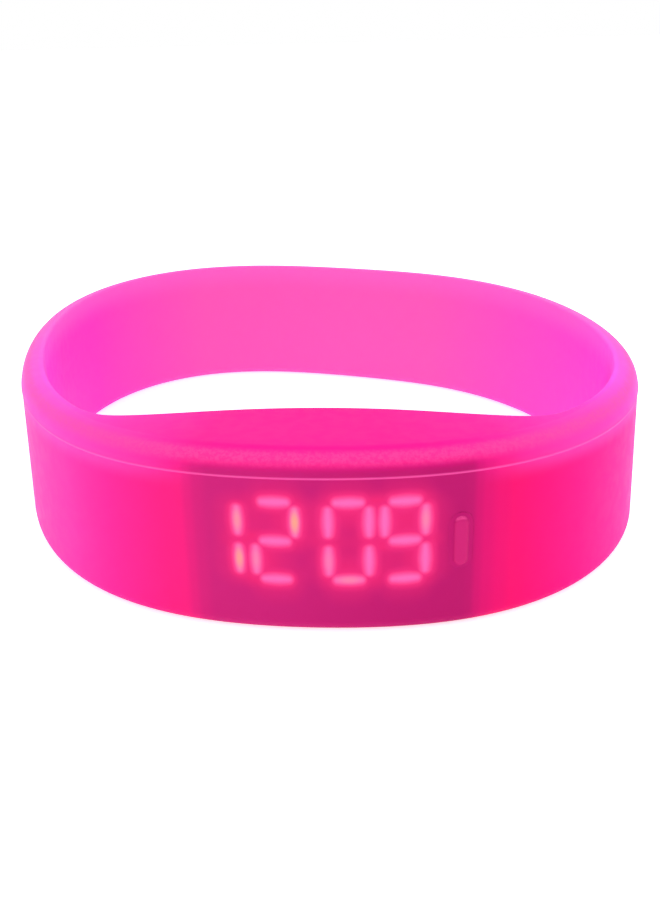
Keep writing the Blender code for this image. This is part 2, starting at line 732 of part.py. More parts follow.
def make_washer(materials, module, steps=32):
    """Thin insulating ring between the board and the cell."""
    back = WASHER_FRONT + WASHER_THICKNESS
    section = [(CELL_RADIUS, WASHER_FRONT), (CELL_RADIUS, back)]
    section += [(WASHER_INNER_RADIUS, back), (WASHER_INNER_RADIUS, WASHER_FRONT)]
    rings = []
    for step in range(steps):
        turn = 2 * math.pi * step / steps
        cosine, sine = math.cos(turn), math.sin(turn)
        rings.append([(radius * cosine, depth, radius * sine) for radius, depth in section])
    film = link("battery_insulator", rings_mesh("battery_insulator", rings), materials["film"])
    place(film, module, CELL_X)


def make_springs(materials, module):
    """Contact that touches the cell's cap, and the clip that wraps from its back to the board."""
    tip = CELL_FRONT - CONTACT_THICKNESS - FINE_GAP
    contact_path = [(-2.0 * MM, SPRING_FRONT), (-0.6 * MM, SPRING_FRONT)]
    contact_path += [(0.9 * MM, tip), (1.8 * MM, tip - SOLDER_GAP)]
    contact = strip_mesh("battery_contact", contact_path, CONTACT_THICKNESS, CONTACT_WIDTH)
    place(link("battery_contact", contact, materials["brass"]), module, CELL_X)

    side = CELL_RADIUS + 0.55 * MM
    foot = side + 0.95 * MM
    clip_path = [(-4.2 * MM, CLIP_BACK), (side, CLIP_BACK), (side, SPRING_FRONT), (foot, SPRING_FRONT)]
    clip = strip_mesh("battery_clip", clip_path, CLIP_THICKNESS, CLIP_WIDTH)
    place(link("battery_clip", clip, materials["brass"]), module, CELL_X)


def make_button(materials, module):
    """Pad in the skin, the key behind it, and the switch that the key presses."""
    pad_back = bow(BUTTON_X) + SKIN - FINE_GAP
    pad_mesh = prism_mesh(
        "button_pad",
        pill(BUTTON_WIDTH, BUTTON_HEIGHT, 6),
        lambda across: bow(BUTTON_X + across) + BUTTON_LEAN - BUTTON_PROUD,
        pad_back,
    )
    pad = place(link("button_pad", pad_mesh, materials["pad"]), module, BUTTON_X)
    smooth(bevel(pad, BUTTON_EDGE, 3, 60), 60)
    key_outline = pill(BUTTON_WIDTH - BUTTON_CLEARANCE, BUTTON_HEIGHT - BUTTON_CLEARANCE, 5)
    key = prism_mesh("button_key", key_outline, KEY_FRONT, KEY_BACK)
    place(smooth(link("button_key", key, materials["cover"]), 60), module, BUTTON_X)
    profile = [(0, PLUNGER_FRONT), (PLUNGER_RADIUS, PLUNGER_FRONT)]
    profile += [(PLUNGER_RADIUS, PLUNGER_BACK), (0, PLUNGER_BACK)]
    plunger = turned_mesh("switch_plunger", profile, 20)
    place(smooth(link("switch_plunger", plunger, materials["switch"])), module, BUTTON_X)
    base_size = (SWITCH_WIDTH, SWITCH_BACK - SWITCH_FRONT, SWITCH_HEIGHT)
    base_centre = (BUTTON_X, (SWITCH_FRONT + SWITCH_BACK) / 2, 0)
    base = make_box("switch_base", materials["steel"], module, base_size, base_centre, CHIP_EDGE)
    well_radius = PLUNGER_RADIUS + FINE_GAP
    well = [(0, PLUNGER_FRONT), (well_radius, PLUNGER_FRONT)]
    well += [(well_radius, SWITCH_FLOOR), (0, SWITCH_FLOOR)]
    cut(base, turned_mesh("switch_well", well, 20), module, BUTTON_X)


def build():
    clear_scene()
    materials = make_materials()
    module = bpy.data.objects.new("module_frame", None)
    bpy.context.scene.collection.objects.link(module)
    module.location = (FRONT.x, FRONT.y, BAND_HEIGHT / 2)
    band = make_band(materials)
    cut_band(band, module)
    make_front_shell(materials, module)
    make_reflector(materials, module)
    make_light_guides(materials, module)
    make_board(materials, module)
    make_components(materials, module)
    make_crystal_can(materials, module)
    make_cell(materials, module)
    make_washer(materials, module)
    make_springs(materials, module)
    make_button(materials, module)
    make_gasket(materials, module)
    make_back_cover(materials, module)
    make_screws(materials, module)


build()
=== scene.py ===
"""Looks of a silicone LED bracelet watch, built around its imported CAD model.

Metres, +Z up, in the model's own frame. The watch stands on its lower edge on z = 0 and its
display faces -Y. Inside the clock module, x is to the right of its middle, depth is measured
back from the outermost line of the skin, and z is up from the middle of the band's height.
"""

import math

import bmesh
import bpy
from mathutils import Matrix, Vector


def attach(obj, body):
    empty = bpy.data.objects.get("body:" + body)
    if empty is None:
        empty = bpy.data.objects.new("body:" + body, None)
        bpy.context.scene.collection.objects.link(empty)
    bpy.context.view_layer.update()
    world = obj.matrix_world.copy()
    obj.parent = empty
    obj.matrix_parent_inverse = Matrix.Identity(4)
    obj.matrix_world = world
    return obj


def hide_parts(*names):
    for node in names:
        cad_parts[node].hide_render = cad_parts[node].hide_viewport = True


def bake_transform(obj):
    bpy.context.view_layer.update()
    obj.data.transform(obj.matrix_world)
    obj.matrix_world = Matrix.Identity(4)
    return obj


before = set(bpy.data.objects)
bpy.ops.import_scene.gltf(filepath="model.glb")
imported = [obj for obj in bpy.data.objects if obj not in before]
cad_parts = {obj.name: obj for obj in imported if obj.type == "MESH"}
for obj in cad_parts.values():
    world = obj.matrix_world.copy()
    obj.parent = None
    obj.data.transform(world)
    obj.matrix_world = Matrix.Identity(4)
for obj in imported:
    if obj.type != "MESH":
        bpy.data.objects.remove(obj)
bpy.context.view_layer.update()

MM = 0.001

# Loop outline, seen from above
LOOP_WIDTH = 68.8 * MM
LOOP_DEPTH_RATIO = 1.138
LOOP_OVAL = 0.087
LOOP_OVAL_TURN = math.radians(-26.9)
LOOP_EGG = 0.0255
LOOP_EGG_TURN = math.radians(3.4)
LOOP_SQUARE = -0.022
LOOP_TURN = math.radians(2.5)
LOOP_STEPS = 480
BOW_SEARCH_STEP = 0.002

# Band cross-section
BAND_HEIGHT = 16.6 * MM
BAND_WALL = 2.5 * MM
BAND_TAPER = 0.045
TOP_OUTER_RADIUS = 2.1 * MM
TOP_INNER_RADIUS = 0.35 * MM
FOOT_OUTER_RADIUS = 1.2 * MM
FOOT_INNER_RADIUS = 1.2 * MM
BULGE_DEPTH = 11.25 * MM
BULGE_BLEND = 2.2 * MM
BULGE_BOW_RADIUS = 90.0 * MM
BULGE_SHIFT = -3.5 * MM
BULGE_FACING = 0.1
SKIN = 1.3 * MM

# Fine moulded line where the two halves of the mould met
PARTING_RISE = 0.05 * MM
PARTING_SPREAD = 0.09 * MM
PARTING_Z = BAND_HEIGHT - TOP_OUTER_RADIUS
PARTING_REACH = 6 * PARTING_SPREAD

# Fineness of the cross-section, in steps or in degrees for each step
WALL_STEPS = 26
LINE_STEPS = 10
EDGE_STEPS = 12
INNER_STEPS = 30
FOOT_TURN = 9
LINE_TURN = 1.5
LINE_TURN_STEPS = 12
TOP_TURN = 6
INNER_TURN = 15
MERGE_DISTANCE = 0.0005 * MM

# Pocket for the module, and its rounded mouth on the wrist side
CORE_WIDTH = 25.6 * MM
CORE_HEIGHT = 13.6 * MM
CORE_CORNER = 2.2 * MM
POCKET_GAP = 0.1 * MM
POCKET_LIP = 0.5 * MM
POCKET_PAST = 2.0 * MM
LIP_TURNS = (0, 15, 30, 45, 60, 75)

# Display
DIGIT_HEIGHT = 8.2 * MM
DIGIT_WIDTH = 4.45 * MM
DIGIT_STROKE = 1.05 * MM
DIGIT_CENTRES = {
    "hour_tens": -9.9 * MM,
    "hour_units": -5.05 * MM,
    "minute_tens": 1.1 * MM,
    "minute_units": 5.8 * MM,
}
DIGIT_Z = 0.5 * MM
LIT = {
    "hour_tens": "bc",
    "hour_units": "abdeg",
    "minute_tens": "abcdef",
    "minute_units": "abcdfg",
}

# Glow of a lit segment on the skin: how far it runs past the segment's bright core, and the
# wider light that it spreads around
GLOW_REACH = 0.84 * MM
NEAR_START = 1.6 * GLOW_REACH
NEAR_FULL = 0.7 * GLOW_REACH
SPREAD_REACH = 3.0 * MM
SPREAD_FULL = 0.3 * MM
SPREAD_SHARE = 0.5
CORE_SHORTER = 0.66 * MM
TAPER = 0.09 / MM
LIT_EMISSION = 0.22
WARM_EMISSION = 0.2

# Warm middles of the brightest segments: figure, segment and strength
HOT_WIDTH = 0.55 * MM
HOT_LENGTH = 1.6 * MM
HOT = (
    ("hour_tens", "b", 0.55),
    ("hour_tens", "c", 0.85),
    ("hour_units", "b", 1.0),
    ("hour_units", "e", 0.3),
    ("minute_tens", "d", 0.35),
    ("minute_tens", "e", 0.2),
    ("minute_units", "b", 0.35),
)

# Button
BUTTON_X = 10.5 * MM
BUTTON_WIDTH = 1.4 * MM
BUTTON_HEIGHT = 4.6 * MM
SLOT_GAP = 0.1 * MM
SLOT_LIFTS = (1.0 * MM, -2.5 * MM)
SMOOTH_BUTTON = 60

# Profiles of the pad and of the thin web over it, from the middle outwards, in millimetres as
# (offset from the pill's outline, lift off the skin)
PAD_PROFILE = ((-0.32, 0.16), (-0.2, 0.1), (-0.1, -0.03), (0.0, -0.14), (0.0, -0.75), (-0.06, -0.82))
WEB_CROWN = ((-0.7, 0.3), (-0.5, 0.298), (-0.36, 0.29), (-0.27, 0.27), (-0.2, 0.236), (-0.14, 0.19))
WEB_FLANK = ((-0.09, 0.135), (-0.05, 0.085), (0.0, 0.045), (0.06, 0.02), (0.12, 0.008), (0.3, -0.014))
WEB_THICKNESS = 0.1

# Camera
CAMERA_PLACE = (5.7427 * MM, -103.7386 * MM, 47.9653 * MM)
CAMERA_FORWARD = Vector((-0.039848, 0.912676, -0.406737))
CAMERA_ROLL = 0.0245
CAMERA_LENS = 38.05
CAMERA_SENSOR = 36.0
CAMERA_CLIP = (1 * MM, 10.0)

# Floor and studio light. Each softbox is its name, place, target, size and power in watts
FLOOR_REACH = 3.0
FLOOR_GAP = 0.02 * MM
FLOOR_EMISSION = 0.6
WORLD_STRENGTH = 1.0
SOFTBOXES = (
    ("overhead", (0.0, 0.02, 0.45), (0.0, 0.0, 0.0), (0.5, 0.5), 0.25),
    ("front_fill", (-0.2, -0.45, 0.25), (0.0, 0.0, 0.01), (0.4, 0.3), 0.08),
    ("back_strip", (0.0, 0.4, 0.3), (0.0, -0.02, 0.01), (0.6, 0.1), 0.25),
)


# ---------------------------------------------------------------- outline


def unit_outline(angle):
    oval = LOOP_OVAL * math.cos(2 * (angle - LOOP_OVAL_TURN))
    egg = LOOP_EGG * math.cos(3 * (angle - LOOP_EGG_TURN))
    radius = 1 + oval + egg + LOOP_SQUARE * math.cos(4 * angle)
    x, y = radius * math.cos(angle), LOOP_DEPTH_RATIO * radius * math.sin(angle)
    cosine, sine = math.cos(LOOP_TURN), math.sin(LOOP_TURN)
    return Vector((cosine * x - sine * y, sine * x + cosine * y))


def outline_frame(fine_steps=2880):
    """Scale, middle and foremost angle of the loop's outline."""
    angles = [2 * math.pi * step / fine_steps for step in range(fine_steps)]
    points = [unit_outline(angle) for angle in angles]
    low = Vector((min(p.x for p in points), min(p.y for p in points)))
    high = Vector((max(p.x for p in points), max(p.y for p in points)))
    foremost = min(zip(angles, points), key=lambda pair: pair[1].y)[0]
    return LOOP_WIDTH / (high.x - low.x), (low + high) / 2, foremost


SCALE, MIDDLE, FRONT_ANGLE = outline_frame()


def outline(angle):
    return (unit_outline(angle) - MIDDLE) * SCALE


def inward_normal(angle, step=0.001):
    along = (outline(angle + step) - outline(angle - step)).normalized()
    return Vector((-along.y, along.x))


FRONT = outline(FRONT_ANGLE)
CENTRE = Vector((FRONT.x, FRONT.y, BAND_HEIGHT / 2))
LINE_Z = PARTING_Z - BAND_HEIGHT / 2


def front_bow_radius():
    """Radius of the circle through the outline at the module's two sides and its middle."""
    reach = CORE_WIDTH / 2
    angle = FRONT_ANGLE
    while outline(angle).x - FRONT.x < reach:
        angle += BOW_SEARCH_STEP
    rise_right = outline(angle).y - FRONT.y
    while outline(angle).x - FRONT.x > -reach:
        angle -= BOW_SEARCH_STEP
    rise_left = outline(angle).y - FRONT.y
    rise = (rise_left + rise_right) / 2
    return (reach * reach + rise * rise) / (2 * rise)


BOW_RADIUS = front_bow_radius()


def bow(x):
    """How far behind the module's foremost line the skin lies, x to the side of its middle."""
    return BOW_RADIUS - math.sqrt(BOW_RADIUS * BOW_RADIUS - x * x)


def inner_bow(x):
    """How far in front of its innermost line the thick front's inner face lies."""
    return BULGE_BOW_RADIUS - math.sqrt(BULGE_BOW_RADIUS**2 - (x - BULGE_SHIFT) ** 2)


def wall_thickness(angle):
    """Plain wall, thickened at the front up to a nearly flat inner face."""
    inward = inward_normal(angle)
    aside = outline(angle).x - FRONT.x
    if inward.y < BULGE_FACING or abs(aside) > LOOP_WIDTH / 2:
        return BAND_WALL
    flat = (FRONT.y + BULGE_DEPTH - inner_bow(aside) - outline(angle).y) / inward.y
    spread = math.hypot(flat - BAND_WALL, BULGE_BLEND)
    return (BAND_WALL + flat + spread) / 2


# ---------------------------------------------------------------- meshes


def smoothstep(low, high, value):
    share = min(1.0, max(0.0, (value - low) / (high - low)))
    return share * share * (3 - 2 * share)


def turn_points(centre, radius, degrees):
    points = []
    for degree in degrees:
        turn = math.radians(degree)
        points.append((centre[0] + radius * math.cos(turn), centre[1] + radius * math.sin(turn)))
    return points


def spread_values(start, end, steps):
    return [start + (end - start) * step / steps for step in range(1, steps)]


def fine_section(thickness):
    """Closed cross-section as (inset, z), from the outer foot up, over the top and down inside."""
    foot, top = FOOT_OUTER_RADIUS, BAND_HEIGHT - TOP_OUTER_RADIUS
    near_line = top - PARTING_REACH
    points = turn_points((foot, foot), foot, range(270, 179, -FOOT_TURN))
    points += [(0.0, z) for z in spread_values(foot, near_line, WALL_STEPS)]
    points += [(0.0, z) for z in [near_line] + spread_values(near_line, top, LINE_STEPS)]
    degrees = [180 - LINE_TURN * step for step in range(LINE_TURN_STEPS)]
    degrees += list(range(159, 90, -TOP_TURN)) + [90]
    points += turn_points((TOP_OUTER_RADIUS, top), TOP_OUTER_RADIUS, degrees)
    inner, low = thickness - TOP_INNER_RADIUS, BAND_HEIGHT - TOP_INNER_RADIUS
    points += [(inset, BAND_HEIGHT) for inset in spread_values(TOP_OUTER_RADIUS, inner, EDGE_STEPS)]
    points += turn_points((inner, low), TOP_INNER_RADIUS, range(90, -1, -INNER_TURN))
    points += [(thickness, z) for z in spread_values(low, FOOT_INNER_RADIUS, INNER_STEPS)]
    inner = thickness - FOOT_INNER_RADIUS
    points += turn_points((inner, FOOT_INNER_RADIUS), FOOT_INNER_RADIUS, range(0, -91, -INNER_TURN))
    points += [(inset, 0.0) for inset in spread_values(inner, foot, EDGE_STEPS)]
    return points


def parting_rise(inset, z):
    """How far the moulded line stands proud here."""
    if inset > TOP_OUTER_RADIUS / 2:
        return 0.0
    return PARTING_RISE * math.exp(-(((z - PARTING_Z) / PARTING_SPREAD) ** 2))


def leaned(inset, z, thickness):
    """The loop leans in towards its upper edge, and the thick front's inner face hardly does."""
    inner_share = (BAND_WALL / thickness) ** 2
    share = 1 + (inner_share - 1) * smoothstep(0.0, thickness, inset)
    return inset + BAND_TAPER * z * share - parting_rise(inset, z)


def mesh_from(name, vertices, faces):
    shape = bmesh.new()
    corners = [shape.verts.new(vertex) for vertex in vertices]
    for face in faces:
        shape.faces.new([corners[index] for index in face])
    bmesh.ops.remove_doubles(shape, verts=shape.verts, dist=MERGE_DISTANCE)
    bmesh.ops.recalc_face_normals(shape, faces=shape.faces)
    mesh = bpy.data.meshes.new(name)
    shape.to_mesh(mesh)
    shape.free()
    return mesh


def link(name, mesh):
    made = bpy.data.objects.new(name, mesh)
    bpy.context.scene.collection.objects.link(made)
    return made


def bridge(rings, closed=False, caps=True):
    """Vertices and faces through rings of equal length, each closed on itself."""
    count = len(rings[0])
    vertices = [point for ring in rings for point in ring]
    faces = []
    for ring in range(len(rings) if closed else len(rings) - 1):
        following = (ring + 1) % len(rings)
        for index in range(count):
            beside = (index + 1) % count
            near, far = ring * count, following * count
            faces.append((near + index, near + beside, far + beside, far + index))
    if caps and not closed:
        faces.append(tuple(range(count)))
        faces.append(tuple(range(len(vertices) - 1, len(vertices) - count - 1, -1)))
    return vertices, faces


def loop_mesh():
    rings = []
    for step in range(LOOP_STEPS):
        angle = FRONT_ANGLE + 2 * math.pi * step / LOOP_STEPS
        skin, inward = outline(angle), inward_normal(angle)
        thickness = wall_thickness(angle)
        ring = []
        for inset, z in fine_section(thickness):
            place = skin + inward * leaned(inset, z, thickness)
            ring.append((place.x, place.y, z))
        rings.append(ring)
    return mesh_from("band_skin", *bridge(rings, closed=True))


def rounded_outline(width, height, corner, corner_steps=8, side_steps=24):
    """Rounded rectangle about (0, 0), as (x, z) going round, with points along its long sides."""
    points = []
    for across, up, start in ((1, 1, 0), (-1, 1, 90), (-1, -1, 180), (1, -1, 270)):
        for step in range(corner_steps + 1):
            turn = math.radians(start + 90 * step / corner_steps)
            x = across * (width / 2 - corner) + corner * math.cos(turn)
            z = up * (height / 2 - corner) + corner * math.sin(turn)
            points.append((x, z))
        if start in (0, 180):
            end = -across * (width / 2 - corner)
            points += [(x, up * height / 2) for x in spread_values(points[-1][0], end, side_steps)]
    return points


def pocket_ring(flare, depth_at):
    """Ring round the pocket, widened by flare, with its depth worked out from x."""
    width = CORE_WIDTH + 2 * (POCKET_GAP + flare)
    height = CORE_HEIGHT + 2 * (POCKET_GAP + flare)
    points = rounded_outline(width, height, CORE_CORNER + POCKET_GAP + flare)
    return [(FRONT.x + x, FRONT.y + depth_at(x), CENTRE.z + z) for x, z in points]


def pocket_mesh():
    """The space the module fills, with a flared mouth that rounds the silicone's edge."""
    mouth = BULGE_DEPTH + BULGE_BLEND**2 / (4 * (BULGE_DEPTH - BAND_WALL))
    rings = [pocket_ring(0.0, lambda x: SKIN + bow(x))]
    for degree in LIP_TURNS:
        turn = math.radians(degree)
        flare, sunk = POCKET_LIP * (1 - math.cos(turn)), POCKET_LIP * (1 - math.sin(turn))
        rings.append(pocket_ring(flare, lambda x: mouth - inner_bow(x) - sunk))
    rings.append(pocket_ring(flare + POCKET_LIP, lambda x: mouth - inner_bow(x) - sunk + POCKET_PAST))
    return mesh_from("pocket", *bridge(rings))


def pill_ring(offset, lift, round_steps=12, side_steps=8):
    """Ring round the button's outline, pushed out by offset and lifted off the skin by lift."""
    radius = BUTTON_WIDTH / 2 + offset
    half = (BUTTON_HEIGHT - BUTTON_WIDTH) / 2
    points = []
    for up in (1, -1):
        for step in range(round_steps + 1):
            turn = math.pi * step / round_steps
            points.append((up * radius * math.cos(turn), up * (half + radius * math.sin(turn))))
        points += [(-up * radius, z) for z in spread_values(up * half, -up * half, side_steps)]
    ring = []
    for x, z in points:
        depth = bow(BUTTON_X + x) + BAND_TAPER * (BAND_HEIGHT / 2 + z) - lift
        ring.append((FRONT.x + BUTTON_X + x, FRONT.y + depth, CENTRE.z + z))
    return ring


def cut(target, mesh):
    """Take a shape away from the target for good."""
    cutter = link("cutter", mesh)
    removal = target.modifiers.new("cut", "BOOLEAN")
    removal.operation = "DIFFERENCE"
    removal.solver = "EXACT"
    removal.object = cutter
    bpy.context.view_layer.update()
    graph = bpy.context.evaluated_depsgraph_get()
    result = bpy.data.meshes.new_from_object(target.evaluated_get(graph))
    target.modifiers.clear()
    target.data = result
    bpy.data.objects.remove(cutter)


def smooth(made, angle=40):
    made.data.shade_smooth()
    made.data.set_sharp_from_angle(angle=math.radians(angle))
    return made


def make_band():
    band = link("band_skin", loop_mesh())
    cut(band, pocket_mesh())
    slot = [pill_ring(SLOT_GAP, lift) for lift in SLOT_LIFTS]
    cut(band, mesh_from("slot", *bridge(slot)))
    return smooth(band)


def pill_rings(profile):
    return [pill_ring(offset * MM, lift * MM) for offset, lift in profile]


def make_button_core():
    """Silicone pad that fills the slot behind the thin web."""
    mesh = mesh_from("button_core", *bridge(pill_rings(PAD_PROFILE)))
    return smooth(link("button_core", mesh), SMOOTH_BUTTON)


def make_button_web():
    """Thin skin moulded over the button: a low pill that runs out into the band."""
    over = WEB_CROWN + WEB_FLANK
    under = tuple((offset, lift - WEB_THICKNESS) for offset, lift in reversed(over))
    mesh = mesh_from("button_web", *bridge(pill_rings(over + under), caps=False))
    return smooth(link("button_web", mesh), SMOOTH_BUTTON)


# ---------------------------------------------------------------- materials


class Shader:
    """One material's node tree, with short calls for the nodes used here."""

    def __init__(self, name):
        self.material = bpy.data.materials.new(name)
        self.material.use_nodes = True
        self.tree = self.material.node_tree
        self.surface = self.tree.nodes["Principled BSDF"]
        coordinates = self.node("ShaderNodeTexCoord")
        self.place, self.normal = coordinates.outputs["Object"], coordinates.outputs["Normal"]

    def node(self, kind, **settings):
        made = self.tree.nodes.new(kind)
        for setting, value in settings.items():
            setattr(made, setting, value)
        return made

    def feed(self, socket, value):
        if isinstance(value, bpy.types.NodeSocket):
            self.tree.links.new(value, socket)
        else:
            socket.default_value = value

    def math(self, operation, *values):
        made = self.node("ShaderNodeMath", operation=operation)
        for socket, value in zip(made.inputs, values):
            self.feed(socket, value)
        return made.outputs[0]

    def product(self, first, *others):
        for value in others:
            first = self.math("MULTIPLY", first, value)
        return first

    def vector(self, operation, *values, output=0):
        made = self.node("ShaderNodeVectorMath", operation=operation)
        for socket, value in zip(made.inputs, values):
            self.feed(socket, value)
        return made.outputs[output]

    def split(self, source):
        """The X, Y and Z of a vector."""
        made = self.node("ShaderNodeSeparateXYZ")
        self.feed(made.inputs[0], source)
        return tuple(made.outputs)

    def step(self, value, low, high, to_low=0.0, to_high=1.0):
        """Smooth step from to_low at low to to_high at high."""
        made = self.node("ShaderNodeMapRange", interpolation_type="SMOOTHSTEP")
        self.feed(made.inputs["Value"], value)
        made.inputs["From Min"].default_value = low
        made.inputs["From Max"].default_value = high
        made.inputs["To Min"].default_value = to_low
        made.inputs["To Max"].default_value = to_high
        return made.outputs["Result"]

    def mix(self, share, first, second):
        made = self.node("ShaderNodeMix", data_type="RGBA")
        self.feed(made.inputs["Factor"], share)
        self.feed(made.inputs[6], first)
        self.feed(made.inputs[7], second)
        return made.outputs[2]

    def noise(self, size, detail=3.0, roughness=0.5, stretch=None):
        """Noise from 0 to 1 with features of about the given size in metres."""
        made = self.node("ShaderNodeTexNoise")
        place = self.place
        if stretch is not None:
            place = self.vector("MULTIPLY", place, stretch)
        self.feed(made.inputs["Vector"], place)
        made.inputs["Scale"].default_value = 1 / size
        made.inputs["Detail"].default_value = detail
        made.inputs["Roughness"].default_value = roughness
        return made.outputs[0]

    def ramp(self, value, stops, interpolation="EASE"):
        made = self.node("ShaderNodeValToRGB")
        made.color_ramp.interpolation = interpolation
        elements = made.color_ramp.elements
        while len(elements) < len(stops):
            elements.new(0.5)
        for element, (position, colour) in zip(elements, stops):
            element.position = position
            element.color = (*colour, 1.0)
        self.feed(made.inputs["Fac"], value)
        return made.outputs["Color"]

    def bump(self, height, distance):
        made = self.node("ShaderNodeBump")
        made.inputs["Strength"].default_value = 1.0
        made.inputs["Distance"].default_value = distance
        self.feed(made.inputs["Height"], height)
        self.feed(self.surface.inputs["Normal"], made.outputs[0])

    def set(self, **values):
        for name, value in values.items():
            self.feed(self.surface.inputs[name.replace("_", " ").title()], value)


# Where the colours of the silicone change
OUTWARD_BLEND = 6.0 * MM
FRONT_START = 6.0 * MM
FRONT_FULL = 3.0 * MM
BEHIND_START = 0.15
BEHIND_FULL = 0.24
# How far the surface faces up, and how near the top it is, set how much painted light of the upward
# edge it takes
UPWARD_START = 0.35
UPWARD_FULL = 0.9
TOP_LIGHT_START = 4.6 * MM
TOP_LIGHT_SHARE = 0.75

# Pinks of the silicone from the back round to the deep front: partly its own pink, deeper where it is
# thick, and partly painted light that makes the thin walls lighter where light comes through them
BACK = (1.00, 0.11, 0.475)
FAR_SIDE = (1.00, 0.05, 0.52)
SIDE = (1.00, 0.05, 0.62)
LEFT = (1.00, 0.037, 0.38)
FRONT_LEFT = (0.86, 0.010, 0.19)
FRONT_RIGHT = (0.80, 0.003, 0.14)
RIGHT = (1.00, 0.016, 0.34)
OUTER_BACK = (1.00, 0.075, 0.40, 1.0)

# Base colour of the silicone's walls round the loop, by angle from the middle of the front, painted
# lighter where light comes through the thin walls
WALL_PINKS_AND_LIGHT = (
    (-180, BACK),
    (-150, BACK),
    (-118, FAR_SIDE),
    (-100, FAR_SIDE),
    (-80, SIDE),
    (-60, LEFT),
    (-40, (1.00, 0.028, 0.35)),
    (-30, (0.90, 0.014, 0.27)),
    (-20, FRONT_LEFT),
    (-10, FRONT_LEFT),
    (20, (0.80, 0.004, 0.18)),
    (30, FRONT_RIGHT),
    (42, (0.92, 0.003, 0.22)),
    (60, RIGHT),
    (80, SIDE),
    (120, (1.00, 0.08, 0.54)),
    (150, BACK),
    (180, BACK),
)

# Painted light on the upward-facing edge: its base colour is lighter, for the light that comes
# through where the wall is thin
RIM_BACK = (1.00, 0.14, 0.57)
RIM_SIDE = (1.00, 0.13, 0.61)
RIM_FRONT = (1.00, 0.003, 0.28)
RIM_LIGHT_COLOURS = (
    (-180, RIM_BACK),
    (-100, RIM_SIDE),
    (-60, (1.00, 0.088, 0.71)),
    (-45, (1.00, 0.069, 0.62)),
    (-30, (1.00, 0.026, 0.40)),
    (-15, (1.00, 0.005, 0.28)),
    (0, RIM_FRONT),
    (15, RIM_FRONT),
    (30, (1.00, 0.009, 0.32)),
    (45, (1.00, 0.040, 0.51)),
    (60, (1.00, 0.090, 0.81)),
    (100, RIM_SIDE),
    (180, RIM_BACK),
)

# Light on the skin just under the parting line, towards the sides
EDGE_LIGHT = 0.35
EDGE_DROP = 1.8 * MM
EDGE_START = 9.0 * MM
EDGE_FULL = 22.0 * MM
EDGE_PINK = (1.0, 0.09, 0.50, 1.0)

# How strongly the module darkens the skin in front of it, by x in millimetres across the module
SHADOW_REACH = 16.0
MODULE_SHADOW = (
    (-15.2, 0.0),
    (-14.1, 0.10),
    (-13.2, 0.30),
    (-12.4, 0.60),
    (-11.6, 0.85),
    (-10.4, 1.0),
    (10.6, 1.0),
    (11.3, 0.95),
    (12.0, 0.66),
    (12.7, 0.46),
    (14.0, 0.24),
    (15.9, 0.0),
)
SHADOW_TOP = 7.75 * MM
SHADOW_FULL = 6.5 * MM
SHADOW_TURN = 12.0 * MM
SHADOW_LEFT = (0.50, 0.0120, 0.160, 1.0)
SHADOW_RIGHT = (0.42, 0.0060, 0.126, 1.0)

# Colours of the figures' light, from its widest reach to the hottest middles
HALO_COLOUR = (0.69, 0.0155, 0.150, 1.0)
NEAR_COLOUR = (0.70, 0.0200, 0.170, 1.0)
LIT_COLOUR = (1.0, 0.105, 0.350, 1.0)
WARM_COLOUR = (1.0, 0.23, 0.17, 1.0)

# The raised pill is a little lighter than the skin round it
PILL_EDGE = 0.66 * MM
PILL_FULL = 0.5 * MM
PILL_SHARE = 0.14
PILL_PINK = (1.0, 0.06, 0.25, 1.0)

# Grainy light that catches the rounded upper edge, by how far the surface faces up
RIDGE_START = 0.35
RIDGE_FULL = 0.72
RIDGE_FADE = 0.80
RIDGE_END = 0.98
RIDGE_GRAIN = 0.35 * MM
RIDGE_DULLEST = 0.55
RIDGE_SHARE = 0.6
RIDGE_PINK = (1.0, 0.085, 0.36, 1.0)

# Light on the parting line
LINE_EDGE = 0.14 * MM
LINE_FULL = 0.03 * MM
LINE_SHARE = 0.5
LINE_PINK = (1.0, 0.12, 0.46, 1.0)

# Satin surface, and how far light travels inside
SATIN_SIZE = 1.2 * MM
SATIN_ROUGHNESS = (0.48, 0.56)
SPECULAR_LEVEL = 0.05
SCATTER_SHARE = 0.25
SCATTER_RADIUS = (1.0, 0.25, 0.6)
SCATTER_SCALE = 0.8 * MM
FINE_GRAIN = 0.18 * MM
FINE_GRAIN_DEPTH = 0.0008 * MM


class SkinShader(Shader):
    """Shader that knows the places on the band which the silicone's colours depend on."""

    def __init__(self, name):
        super().__init__(name)
        offset = self.vector("SUBTRACT", self.place, tuple(CENTRE))
        self.x, self.depth, self.z = self.split(offset)
        self.flat = self.vector("MULTIPLY", offset, (1.0, 0.0, 1.0))
        self.up = self.split(self.normal)[2]
        self.front = self.step(self.depth, FRONT_START, FRONT_FULL)
        radial = self.vector("MULTIPLY", self.place, (1.0, 1.0, 0.0))
        facing = self.vector("DOT_PRODUCT", self.normal, radial, output=1)
        self.outward = self.step(facing, 0.0, OUTWARD_BLEND)

    def turn(self):
        """Place round the loop from 0 to 1, with 0.5 at the middle of the front."""
        x, y, _ = self.split(self.place)
        angle = self.math("ARCTAN2", x, self.math("MULTIPLY", y, -1.0))
        return self.math("ADD", self.math("DIVIDE", angle, 2 * math.pi), 0.5)


